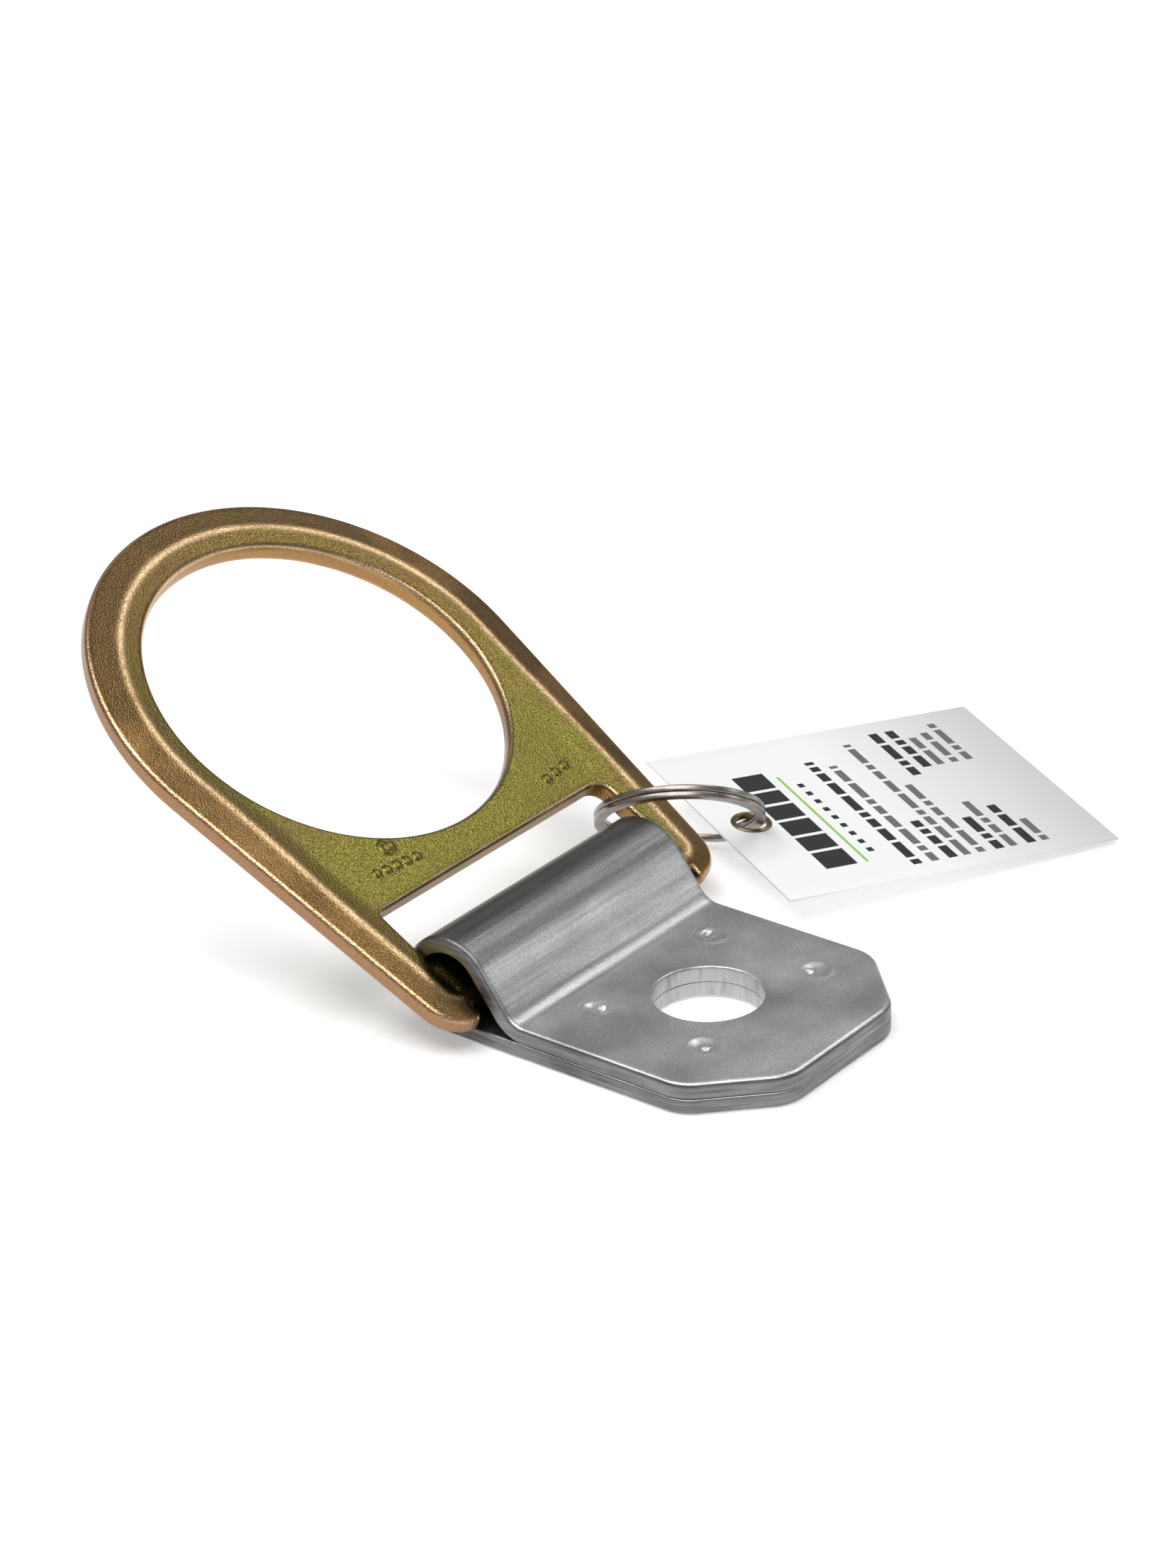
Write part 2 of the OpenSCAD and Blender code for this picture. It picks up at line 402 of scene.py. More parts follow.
def spring_material():
    """Nickel-plated spring steel, with faint drawing lines round the coil."""
    n = Nodes("spring_steel")
    cloud = n.noise(220, 3, 0.6)
    colour = n.curve(cloud, [(0.3, (0.20, 0.18, 0.16)), (0.7, (0.38, 0.35, 0.32))])
    rough = n.curve(cloud, [(0.2, 0.20), (0.8, 0.34)])
    return n.finish(1.0, colour, rough, n.bump(n.noise(1800, 2, 0.6), 0.2, 0.00005))


def eyelet_material():
    """Antique-brass eyelet, clouded from dark to pale."""
    n = Nodes("antique_brass")
    cloud = n.noise(420, 3, 0.6)
    colour = n.curve(cloud, [(0.3, (0.17, 0.13, 0.07)), (0.7, (0.32, 0.26, 0.16))])
    return n.finish(1.0, colour, 0.30, n.bump(n.noise(1500, 2, 0.6), 0.2, 0.00005))


def card_material(name, shade):
    """Printed card in one colour of ink: a faint fibre under a satin film."""
    n = Nodes(name)
    fibre = n.noise(900, 4, 0.6)
    low = tuple(c * 0.96 for c in shade)
    n.bsdf.inputs["Specular IOR Level"].default_value = CARD_SPECULAR
    rough = n.curve(fibre, [(0.3, 0.42), (0.7, 0.55)])
    return n.finish(0.0, n.mix(fibre, low, shade), rough, n.bump(fibre, 0.08, 0.00004))


def face_material():
    """White of the card, with painted shade that turns it grey towards its far end."""
    n = Nodes("card_white_and_shade")
    fibre = n.noise(900, 4, 0.6)
    along = n.attribute("along")
    # Painted shade: the card darkens towards its far end.
    shade = n.curve(along, [(0.45, (0.96, 0.96, 0.96)), (1.0, (0.66, 0.66, 0.67))])
    colour = n.mix(n.math("MULTIPLY", fibre, 0.06), shade, (0.5, 0.5, 0.5))
    n.bsdf.inputs["Specular IOR Level"].default_value = CARD_SPECULAR
    return n.finish(0.0, colour, 0.5, n.bump(fibre, 0.08, 0.00004))


# ---------------------------------------------------------------- strap

# Material slots of the strap.
SHEET = 0
SHEARED = 1
PUNCHED = 2

# Radii of the strap's edge on its outer and inner surfaces, and of the hole's two rims.
EDGE_OUT = 0.85
EDGE_IN = 0.3
HOLE_RIM_OUT = 0.35
HOLE_RIM_IN = 0.06
# First row of faces down the edge that shows the shears' cut.
FIRST_CUT = 3

# Steps of the mesh: across the strap, down its edge, round its loop, and along a leaf's outline.
ACROSS = 66
OUT_STEPS = 6
IN_STEPS = 4
LEAF_STEPS = 8
LOOP_STEPS = 92
WALL_STEPS = 8
FOOT_STEPS = 16
CORNER_STEPS = 12
SIDE_STEPS = 40
CUT_STEPS = 16
NOSE_STEPS = 28
# Steps from a leaf's outline to its hole. The marked surface needs more of them.
PLAIN_STEPS = 14
MARKED_STEPS = 60
HOLE_RIM_STEPS = 4
HOLE_WALL_STEPS = 3

# Electrode mark: a bowl with a raised rim, and a pit with a rim of its own off the bowl's middle.
MARK_REACH = 5
BOWL_DEPTH = 0.28
BOWL_RIM_R = 2.55
PIT_OFFSET = 0.9
PIT_DEPTH = 0.40
PIT_RIM = 0.10


def edge_levels():
    """(inset, depth) pairs down the strap's edge, from its outer surface to its inner one."""
    out = [
        (EDGE_OUT * (1 - math.sin(a)), EDGE_OUT * (1 - math.cos(a)))
        for a in (math.radians(90 * i / OUT_STEPS) for i in range(OUT_STEPS + 1))
    ]
    inner = [
        (EDGE_IN * (1 - math.cos(a)), SHEET_T - EDGE_IN * (1 - math.sin(a)))
        for a in (math.radians(90 * i / IN_STEPS) for i in range(IN_STEPS + 1))
    ]
    return out + between(out[-1], inner[0], 3) + inner


def strap_section():
    """Closed section across the strap, as (y, depth)."""
    right = [(strap["half_w"] - inset, depth) for inset, depth in edge_levels()]
    left = [(-y, depth) for y, depth in reversed(right)]
    outer = between(left[-1], right[0], ACROSS)
    inner = between(right[-1], left[0], ACROSS)
    return outer + right + inner + left


def strap_stations():
    """(point, inward normal) pairs in the XZ plane, from the bottom leaf round to the top one."""
    cx, cz, out = -strap["loop_x"], strap["loop_z"], strap["loop_out"]
    inward = (-math.cos(WALL_ANGLE), -math.sin(WALL_ANGLE))
    up = (0.0, 1.0)
    start = (LEAF_X[0], 0.0)
    stations = [(start, up)]
    stations += [(point, up) for point in between(start, (cx, 0.0), LEAF_STEPS)]
    for x, z in arc(cx, cz, out, 270, math.degrees(WALL_ANGLE), LOOP_STEPS):
        stations.append(((x, z), ((cx - x) / out, (cz - z) / out)))
    foot_x, foot_z = foot_centre()
    turned = arc(foot_x, foot_z, FOOT_R, 180 + math.degrees(WALL_ANGLE), 270, FOOT_STEPS)
    stations += [(point, inward) for point in between(stations[-1][0], turned[0], WALL_STEPS)]
    for x, z in turned:
        stations.append(((x, z), ((x - foot_x) / FOOT_R, (z - foot_z) / FOOT_R)))
    return stations


def foot_centre():
    """Centre of the bend at the foot of the loop's front wall."""
    out = strap["loop_out"]
    nx, nz = math.cos(WALL_ANGLE), math.sin(WALL_ANGLE)
    top = (-strap["loop_x"] + out * nx, strap["loop_z"] + out * nz)
    length = (top[1] - FLAT_Z - FOOT_R * (1 - nz)) / nx
    return top[0] + length * nz + FOOT_R * nx, top[1] - length * nx + FOOT_R * nz


# Where each leaf starts, and the swept middle of the strap ends: the bottom leaf, then the top.
LEAF_X = (-18.0, foot_centre()[0])


def leaf_outline(x_from, inset):
    """Plan of a leaf's free edge at an inset, from one side round the nose to the other."""
    half = strap["half_w"] - inset
    r = NOSE_R - inset
    turn = NOSE_R * math.tan(math.radians(22.5))
    side_x = strap["nose_x"] - NOSE_CUT - turn
    side_y = strap["half_w"] - NOSE_R
    end_x = strap["nose_x"] - NOSE_R
    end_y = strap["half_w"] - NOSE_CUT - turn
    corners = [
        arc(side_x, -side_y, r, -90, -45, CORNER_STEPS),
        arc(end_x, -end_y, r, -45, 0, CORNER_STEPS),
        arc(end_x, end_y, r, 0, 45, CORNER_STEPS),
        arc(side_x, side_y, r, 45, 90, CORNER_STEPS),
    ]
    points = [(x_from, -half)]
    for corner, steps in zip(corners, (SIDE_STEPS, CUT_STEPS, NOSE_STEPS, CUT_STEPS)):
        points += between(points[-1], corner[0], steps) + corner
    stop = (x_from, half)
    return points + between(points[-1], stop, SIDE_STEPS) + [stop]


def dent(x, y):
    """Depth of the electrodes' marks at a point of the top leaf."""
    depth = 0.0
    for i, (wx, wy) in enumerate(WELDS):
        r = math.hypot(x - wx, y - wy)
        if r > MARK_REACH:
            continue
        # Each mark is turned differently, and its rim is higher on one side.
        turn = 0.9 + 1.7 * i
        px, py = wx + PIT_OFFSET * math.cos(turn), wy + PIT_OFFSET * math.sin(turn)
        pit = math.hypot(x - px, y - py)
        side = 0.5 + 0.5 * math.cos(math.atan2(y - wy, x - wx) - turn - 2.6)
        depth += BOWL_DEPTH * (1 - ramp(0.9, 2.3, r)) + PIT_DEPTH * (1 - ramp(0.2, 0.75, pit))
        depth -= (0.05 + 0.13 * side) * math.exp(-((r - BOWL_RIM_R) / 0.42) ** 2)
        depth -= PIT_RIM * math.exp(-((pit - 1.0) / 0.22) ** 2)
    return depth


def leaf_surface(loop, compass, depth, side, soft, marked):
    """Rows of a leaf's surface, from its outline to the hole and down to the wall's middle.

    Also returns the first row of faces that belongs to the hole's wall.
    """
    hole_r = strap["bolt_r"]
    steps = MARKED_STEPS if marked else PLAIN_STEPS
    rows = []
    for s in range(steps + 1):
        t = s / steps
        row = []
        for (x, y), (cx, cy) in zip(loop, compass):
            px = x + (cx * (hole_r + soft) - x) * t
            py = y + (cy * (hole_r + soft) - y) * t
            sink = dent(px, py) if marked and 0 < s < steps else 0.0
            row.append((px, py, depth + sink))
        rows.append(row)
    for i in range(1, HOLE_RIM_STEPS + 1):
        a = math.radians(90 * i / HOLE_RIM_STEPS)
        r = hole_r + soft * (1 - math.sin(a))
        d = depth + side * soft * (1 - math.cos(a))
        rows.append([(r * cx, r * cy, d) for cx, cy in compass])
    first_wall = len(rows) - 1
    for i in range(1, HOLE_WALL_STEPS + 1):
        d = depth + side * (soft + (SHEET_T / 2 - soft) * i / HOLE_WALL_STEPS)
        rows.append([(hole_r * cx, hole_r * cy, d) for cx, cy in compass])
    return rows, first_wall


def add_leaf(verts, faces, slots, x_from, place, marked):
    """A leaf's two surfaces, its free edge and its hole. place turns (x, y, depth) to a point."""
    levels = edge_levels()
    rings = [[(x, y, depth) for x, y in leaf_outline(x_from, inset)] for inset, depth in levels]
    made = add_rows(verts, faces, [[place(*p) for p in ring] for ring in rings], closed=False)
    row_faces = len(rings[0]) - 1
    cut_rows = range(FIRST_CUT, len(levels) - 3)
    slots += [SHEARED if i // row_faces in cut_rows else SHEET for i in range(made)]
    # Both surfaces use the same directions from the hole, so that their rows meet in its wall.
    outline = leaf_outline(x_from, 0.0)
    outline += between(outline[-1], outline[0], ACROSS)
    compass = [(x / math.hypot(x, y), y / math.hypot(x, y)) for x, y in outline]
    surfaces = ((rings[0], 0.0, 1, HOLE_RIM_OUT), (rings[-1], SHEET_T, -1, HOLE_RIM_IN))
    for ring, depth, side, soft in surfaces:
        loop = [(x, y) for x, y, _ in ring]
        loop += between(loop[-1], loop[0], ACROSS)
        rows, first_wall = leaf_surface(loop, compass, depth, side, soft, marked and side == 1)
        made = add_rows(verts, faces, [[place(*p) for p in row] for row in rows])
        slots += [PUNCHED if i // len(loop) >= first_wall else SHEET for i in range(made)]


def build_strap(materials):
    """The folded strip as one closed surface: a swept middle and two leaves."""
    verts, faces, slots = [], [], []
    section = strap_section()
    rows = [
        [(x + nx * d, y, z + nz * d) for y, d in section]
        for (x, z), (nx, nz) in strap_stations()
    ]
    add_rows(verts, faces, rows)
    # Where the right and the left edge begin in the section.
    levels = len(edge_levels())
    right_from = ACROSS - 1
    left_from = 2 * right_from + levels
    cut_rows = range(FIRST_CUT, levels - 4)
    row_slots = [
        SHEARED if c - right_from in cut_rows or c - left_from in cut_rows else SHEET
        for c in range(len(section))
    ]
    slots += row_slots * (len(rows) - 1)
    add_leaf(verts, faces, slots, LEAF_X[0], lambda x, y, d: (x, y, d), False)
    add_leaf(verts, faces, slots, LEAF_X[1], lambda x, y, d: (x, y, FLAT_Z - d), True)
    add_piece("strap_sheet", verts, faces, materials, "bracket", "folded_strap", slots)


# ---------------------------------------------------------------- D-ring

# Radius of the forging's rounded edges, and the direction where the rim runs into a leg's flank.
SOFT = 0.75
TANGENT = math.radians(95.97)

# Steps along half the outer edge: round the far end, down the leg, round the heel.
FAR_STEPS = 110
LEG_STEPS = 44
HEEL_STEPS = 20
# The crest follows the outer edge up to the first point past the heel.
CREST_POINTS = FAR_STEPS + LEG_STEPS + HEEL_STEPS + 2
EYE_STEPS = 200

# The step into the web: its distance across at STEP_U, and how it spreads towards the eye.
STEP_U = 10
STEP_V = 28.6
STEP_SPREAD = 0.078

# Distances of the mesh's guide lines from the crest, from the step and from the eye's edge.
CREST_LINES = (-0.9, -0.55, -0.25, 0.0, 0.25, 0.55, 0.9, 1.6)
STEP_LINES = (-1.1, -0.7, -0.3, 0.1, 0.5, 0.9)
EYE_LINES = (0.15, 0.35, 0.6, 0.8)
# First place, pitch and number of the points along the step.
STEP_FROM = 15.0
STEP_PITCH = 0.52
STEP_POINTS = 62
# Pitch, corner and size of the even fill, and the least gap between a point and an edge.
FILL_PITCH = 0.9
FILL_U, FILL_V = -8, -41
FILL_LONG, FILL_WIDE = 102, 82
EDGE_GAP = 0.12
# Triangles with less than half this area in square millimetres are dropped.
SLIVER = 1e-5

# Extra height along the crest and its width, and the rounding at the eye's edge.
CREST_LIFT = 0.55 * RIDGE
CREST_WIDTH = 1.3
EYE_LIP = 1.0
EYE_DROP = 0.55
DOT_H = 0.28
DOT_HOLLOW = 0.22
DOT_RINGS = 9
# Vertices are matched to their film, wear and painted highlight in steps of 1/200 mm, or else get the plain ones.
KEYS_PER_MM = 200
PLAIN_TONE = (0.4, 0.0)


def ring_point(u, v, w):
    """From the D-ring's own coordinates, away from its bar, across and up, to the row frame."""
    c, s = math.cos(RING_RISE), math.sin(RING_RISE)
    return (-strap["loop_x"] - u * c + w * s, RING_SHIFT + v, strap["loop_z"] + u * s + w * c)


def outer_half(inset):
    """One half of the outer edge, from the far end to the middle of the bar's edge."""
    top = math.degrees(TANGENT)
    heel_r = HEEL_R - inset
    heel_top = (HEEL_U + heel_r * math.cos(TANGENT), HEEL_V + heel_r * math.sin(TANGENT))
    points = arc(EYE_U, 0, RIM_R - inset, 0, top, FAR_STEPS)
    points += between(points[-1], heel_top, LEG_STEPS)
    points += arc(HEEL_U, HEEL_V, heel_r, top, 174, HEEL_STEPS)
    # A small corner ends the heel, and a fillet leads into the bar's edge.
    corner = 1.2
    points += arc(HEEL_U - HEEL_R + corner, SLOT_HALF + corner, corner - inset, 190, 270, 7)
    fillet = 0.8
    points += arc(-BAR_HALF - fillet, SLOT_HALF - fillet, fillet + inset, 90, 0, 6)
    middle = (-BAR_HALF + inset, 0)
    return points + between(points[-1], middle, 24) + [middle]


def outer_loop(inset):
    """The whole outer edge at an inset."""
    half = outer_half(inset)
    return half + [(u, -v) for u, v in reversed(half[1:-1])]


def slot_loop(inset):
    """Edge of the slot, moved into the metal by the inset."""
    # Corner radii: on the web's side at the leg v > 0 and at the leg v < 0, and along the bar.
    r_far, r_near, r_bar = 2.6, 1.2, 1.0
    low, high = BAR_HALF - inset, SLOT_U + inset
    wide = SLOT_HALF + inset
    bar_u, bar_v = low + inset + r_bar, wide - inset - r_bar
    a = arc(high - inset - r_far, wide - inset - r_far, r_far + inset, 0, 90, 8)
    b = arc(bar_u, bar_v, r_bar + inset, 90, 180, 6)
    c = arc(bar_u, -bar_v, r_bar + inset, 180, 270, 6)
    d = arc(high - inset - r_near, -(wide - inset - r_near), r_near + inset, 270, 360, 8)
    points = a + between(a[-1], b[0], 8) + b + between(b[-1], c[0], 48) + c
    return points + between(c[-1], d[0], 8) + d + between(d[-1], a[0], 48)


def eye_loop(inset):
    """Edge of the round eye, moved into the metal by the inset."""
    return arc(EYE_U, 0, EYE_R + inset, 0, 360, EYE_STEPS)[:-1]


def rim_inset(u, v):
    """Distance of a point inside the D-ring's outer outline, with the slot and eye left out."""
    v = abs(v)
    # Against the leg's straight flank, whose normal this is, unless the rim or the heel is nearer.
    nu, nv = math.cos(TANGENT), math.sin(TANGENT)
    flank = RIM_R - ((u - EYE_U) * nu + v * nv)
    along = (u - EYE_U) * nv - v * nu
    length = (HEEL_U - EYE_U) * nv - HEEL_V * nu
    if along > 0:
        return RIM_R - math.hypot(u - EYE_U, v)
    if along < length and v > HEEL_V:
        return HEEL_R - math.hypot(u - HEEL_U, v - HEEL_V)
    return min(flank, u - HEEL_U + HEEL_R)


def crest_inset(u):
    """Inset of the crest line, which stands closer to the edge along the legs."""
    return 4.3 + 1.2 * ramp(12, 48, u)


def step_edge(u):
    """How far from the middle line the web's recess ends."""
    return STEP_V + (u - STEP_U) * STEP_SPREAD


def step_distance(u, v):
    """Distance inside the web's recess, and well outside it near the bar."""
    return step_edge(u) - abs(v) if u > STEP_U else -9.0


# Raised dots in place of the foundry's marks, as (u, v, radius). The large one is a ring.
DOTS = [
    (24.5, -16.8, 1.5),
    (21.4, -22.4, 0.75), (21.2, -20.2, 0.75), (21.0, -18.0, 0.75), (20.8, -15.8, 0.75),
    (20.6, -13.6, 0.75), (20.6, 19.4, 0.8), (20.9, 21.9, 0.8), (21.2, 24.4, 0.8),
]


def height(u, v):
    """Half thickness of the forging at a point of its plan."""
    # The bevel rises from the outer edge to the crest, and the inner side falls to the web.
    d = rim_inset(u, v)
    crest = crest_inset(u)
    slope = (CREST_H - EDGE_H) / (crest - SOFT)
    bevel = EDGE_H + slope * (d - SOFT)
    inner = CREST_H - INNER_FALL * (d - crest)
    inner = VALLEY * math.log(math.exp(inner / VALLEY) + math.exp(WEB_H / VALLEY))
    h = -RIDGE * math.log(math.exp(-bevel / RIDGE) + math.exp(-inner / RIDGE))
    h += CREST_LIFT * math.exp(-((d - crest) / CREST_WIDTH) ** 2)
    # The bar has a flat crest of its own, which fades out past the slot's ends.
    fall = (CREST_H - BAR_EDGE_H) / (BAR_HALF - BAR_CREST)
    bar = min(CREST_H, max(BAR_EDGE_H, CREST_H - fall * (abs(u) - BAR_CREST)))
    across = 1 - ramp(SLOT_HALF - 0.2, SLOT_HALF + 1, abs(v))
    on_bar = across * (1 - ramp(BAR_HALF, BAR_HALF + 1.5, u))
    h += (bar - h) * on_bar
    for du, dv, r in DOTS:
        near = math.hypot(u - du, v - dv)
        h += DOT_H * (1 - ramp(r - 0.35, r + 0.25, near))
        if r > 1:
            h -= DOT_HOLLOW * (1 - ramp(r - 0.85, r - 0.45, near))
    far = math.hypot(u - EYE_U, v)
    if far < EYE_R + EYE_LIP:
        t = (EYE_R + EYE_LIP - far) / EYE_LIP
        h -= EYE_DROP * (1 - math.sqrt(max(0.0, 1 - t * t)))
    return h


def film(u, v, side):
    """Place on the zinc film's scale, from 0 for olive to 1 for copper. side is 1 on the walls."""
    d = rim_inset(u, v)
    crest = crest_inset(u)
    # The hollows are greener than the bevel, and less so round the far end of the eye.
    green = 0.30 - 0.17 * ramp(48, 66, u)
    shade = 0.40 - green * ramp(crest - 0.2, crest + 1.0, d)
    # Gold along the crest and the outer edge, and the greenest tone in the web's recess.
    shade += 0.20 * math.exp(-((d - crest) / 0.5) ** 2)
    shade += 0.20 * (1 - ramp(0.0, 1.2, d))
    shade -= 0.08 * ramp(0, 3, step_distance(u, v))
    return shade + side * 0.45


def wear_and_highlight(u, v, side):
    """How far the film is rubbed thin along the middle of the rounded edges, plus a painted highlight on the
    crest.
    """
    crest = math.exp(-((rim_inset(u, v) - crest_inset(u)) / 0.55) ** 2)
    # The second term is a painted highlight along the crest.
    return math.exp(-((side - 0.4) / 0.2) ** 2) + 0.8 * crest


def band(loop_at, levels=5):
    """Rows of (u, v, drop, side) over a loop's rounded edge, side going from 0 to 1."""
    rows = []
    for i in range(levels + 1):
        a = math.radians(90 * i / levels)
        inset = SOFT * (1 - math.sin(a))
        rows.append([(u, v, SOFT * (1 - math.cos(a)), i / levels) for u, v in loop_at(inset)])
    return rows


def plan_points():
    """Points of the D-ring's top face: guide lines along its creases, and an even fill."""
    points = []
    for off in CREST_LINES:
        half = []
        for u, v in outer_half(SOFT)[:CREST_POINTS]:
            c = crest_inset(u) + off
            half.append(push_in(u, v, c - SOFT))
        points += half + [(u, -v) for u, v in half[1:]]
    for i in range(STEP_POINTS):
        u = STEP_FROM + i * STEP_PITCH
        for off in STEP_LINES:
            v = step_edge(u) + off
            points += [(u, v), (u, -v)]
    for inset in EYE_LINES:
        points += eye_loop(SOFT + inset)
    for du, dv, r in DOTS:
        for ring in range(1, DOT_RINGS + 1):
            points += arc(du, dv, ring * (r + 0.3) / DOT_RINGS, 0, 360, 12 + 2 * ring)[:-1]
        points.append((du, dv))
    for i in range(int(FILL_LONG / FILL_PITCH)):
        for j in range(int(FILL_WIDE / FILL_PITCH)):
            points.append((FILL_U + i * FILL_PITCH, FILL_V + (j + 0.5 * (i % 2)) * FILL_PITCH))
    return points


def push_in(u, v, by):
    """Moves a point of the outer edge into the metal, along the edge's normal."""
    side = 1 if v >= 0 else -1
    v = abs(v)
    nu, nv = math.cos(TANGENT), math.sin(TANGENT)
    if (u - EYE_U) * nv - v * nu > 0:
        r = math.hypot(u - EYE_U, v)
        nu, nv = (u - EYE_U) / r, v / r
    elif u < HEEL_U + HEEL_R * math.cos(TANGENT):
        r = math.hypot(u - HEEL_U, v - HEEL_V)
        # It stops short of the heel's centre, where all the normals meet.
        by = min(by, r * 0.98)
        nu, nv = (u - HEEL_U) / r, (v - HEEL_V) / r
    return u - nu * by, side * (v - nv * by)


def inside(u, v, gap):
    """True if a point of the plan is in the metal, and the gap away from each edge."""
    if rim_inset(u, v) < SOFT + gap or math.hypot(u - EYE_U, v) < EYE_R + SOFT + gap:
        return False
    if abs(v) < SLOT_HALF + SOFT + gap:
        if BAR_HALF - SOFT - gap < u < SLOT_U + SOFT + gap:
            return False
        if u < -BAR_HALF + SOFT + gap:
            return False
    return True


def point_in(poly, x, y):
    """Even-odd test of a point against a closed outline."""
    hit = False
    x0, y0 = poly[-1]
    for x1, y1 in poly:
        if (y1 > y) != (y0 > y) and x < (x0 - x1) * (y - y1) / (y0 - y1) + x1:
            hit = not hit
        x0, y0 = x1, y1
    return hit


def plan_triangles(rims):
    """Points and triangles of the D-ring's plan, between its outer edge, its slot and its eye."""
    flat, edges = [], []
    for rim in rims:
        first = len(flat)
        flat += rim
        edges += [(first + i, first + (i + 1) % len(rim)) for i in range(len(rim))]
    flat += [p for p in plan_points() if inside(p[0], p[1], EDGE_GAP)]
    made = delaunay_2d_cdt([Vector(p) for p in flat], edges, [], 0, 1e-4)
    plan = [(p.x, p.y) for p in made[0]]
    outer, slot, eye = rims
    kept = []
    for tri in made[2]:
        cu = sum(plan[i][0] for i in tri) / len(tri)
        cv = sum(plan[i][1] for i in tri) / len(tri)
        (au, av), (bu, bv), (du, dv) = (plan[i] for i in tri)
        if abs((bu - au) * (dv - av) - (bv - av) * (du - au)) < SLIVER:
            continue
        if point_in(outer, cu, cv) and not point_in(slot, cu, cv) and not point_in(eye, cu, cv):
            kept.append(tuple(tri))
    return plan, kept


def build_ring(material):
    """The forging, and a (place, film with wear and painted highlight) pair for each of its vertices as they were
    made.

    It has two equal faces, with rounded edges and walls between them.
    """
    loops = (outer_loop, slot_loop, eye_loop)
    plan, kept = plan_triangles([loop(SOFT) for loop in loops])
    verts, faces, tones = [], [], []
    for sign in (1, -1):
        base = len(verts)
        verts += [(u, v, sign * height(u, v)) for u, v in plan]
        tones += [(film(u, v, 0), wear_and_highlight(u, v, 0)) for u, v in plan]
        faces += [tuple(base + i for i in tri) for tri in kept]
    for loop in loops:
        rows = band(loop)
        for sign in (1, -1):
            edge = [[(u, v, sign * (height(u, v) - drop)) for u, v, drop, _ in row] for row in rows]
            add_rows(verts, faces, edge)
            tones += [(film(u, v, side), wear_and_highlight(u, v, side)) for row in rows for u, v, _, side in row]
        wall = [
            [(u, v, t * (height(u, v) - drop)) for u, v, drop, _ in rows[-1]]
            for t in (1.0, 0.5, 0.0, -0.5, -1.0)
        ]
        add_rows(verts, faces, wall)
        tones += [(film(u, v, 1), 0.0) for u, v, _, _ in rows[-1]] * len(wall)
    placed = [ring_point(*p) for p in verts]
    obj = add_piece("ring_forging", placed, faces, [material], "ring", "d_ring")
    return obj, list(zip(verts, tones))


def store_film(obj, samples):
    """Writes film, wear and painted highlight onto the forging's vertices, found again by their place."""
    lookup = {}
    for (u, v, w), tone in samples:
        key = tuple(round(c * KEYS_PER_MM) for c in ring_point(u, v, w))
        lookup[key] = tone
    layers = [obj.data.attributes.new(name, "FLOAT", "POINT") for name in ("film", "wear_and_highlight")]
    for i, vertex in enumerate(obj.data.vertices):
        key = tuple(round(c / MM * KEYS_PER_MM) for c in vertex.co)
        for layer, value in zip(layers, lookup.get(key, PLAIN_TONE)):
            layer.data[i].value = value


# ---------------------------------------------------------------- split ring

# Gap between the two coils, and the wire's length round them in degrees.
COIL_GAP = 0.04
COIL_END = 680
COIL_STEPS = 360
# Radius of the wire's rounded edges.
WIRE_SOFT = 0.26


def coil_height(a):
    """Height of the wire's middle at an angle from its first end, with a jog between the coils."""
    return (ramp(320, 360, a) - 0.5) * (WIRE_T + COIL_GAP)


def build_split_ring(material):
    """Two flat coils of one wire, with rounded edges and cut ends."""
    turn = Matrix.Rotation(SPLIT_TURN, 4, "Z") @ Matrix.Rotation(SPLIT_TILT, 4, "Y")
    place = Matrix.Translation(SPLIT_AT) @ turn
    half_w, half_t = WIRE_W / 2 - WIRE_SOFT, WIRE_T / 2 - WIRE_SOFT
    section = []
    for sx, sy, start in ((1, 1, 0), (-1, 1, 90), (-1, -1, 180), (1, -1, 270)):
        section += arc(sx * half_w, sy * half_t, WIRE_SOFT, start, start + 90, 4)
    rows = []
    for i in range(COIL_STEPS + 1):
        a = COIL_END * i / COIL_STEPS
        c, s = math.cos(math.radians(a)), math.sin(math.radians(a))
        row = [((SPLIT_R + dr) * c, (SPLIT_R + dr) * s, coil_height(a) + dz) for dr, dz in section]
        rows.append([tuple(place @ Vector(p)) for p in row])
    verts, faces = [], []
    add_rows(verts, faces, rows)
    n = len(section)
    faces += [tuple(range(n)), tuple(COIL_STEPS * n + i for i in reversed(range(n)))]
    body, node = "split_ring_body", "split_ring"
    add_piece("split_ring_wire", verts, faces, [material], body, node, sharp=50)


# ---------------------------------------------------------------- tag

# Material slots of the card.
BARE = 0
BLACK = 1
GREY = 2
GREEN = 3

# Radius of the card's rounded edge, and of the hole that the eyelet goes through.
CARD_SOFT = 0.15
CARD_HOLE_R = EYELET_HOLE_R + 0.26
# Half width of the square patch round the card's hole, the steps in it, and those to the hole.
PATCH = 3.9
PATCH_STEPS = 6
TO_HOLE_STEPS = 6
# Rows of print, as (x, height, y from, y to). Rows taller than BOLD are black, the others grey.
BOLD = 1.6
PRINT_ROWS = [
    (18.4, 1.7, -21.5, 15.5), (21.8, 1.5, -21.5, 13.0), (25.1, 1.7, -21.5, -8.5),
    (27.9, 1.4, -21.5, 19.0), (30.7, 1.4, -21.5, 3.2), (34.0, 1.7, -21.5, -10.0),
    (36.8, 1.4, -21.5, -5.0), (40.1, 1.7, -21.5, -8.0), (42.9, 1.4, -21.5, -12.5),
    (34.0, 1.7, 5.5, 21.0), (37.2, 1.7, 7.5, 21.0), (40.0, 1.4, 7.5, 18.0),
    (42.8, 1.4, 7.5, 18.5), (45.6, 1.4, 7.5, 21.0),
]
WORD_GAP = 0.8


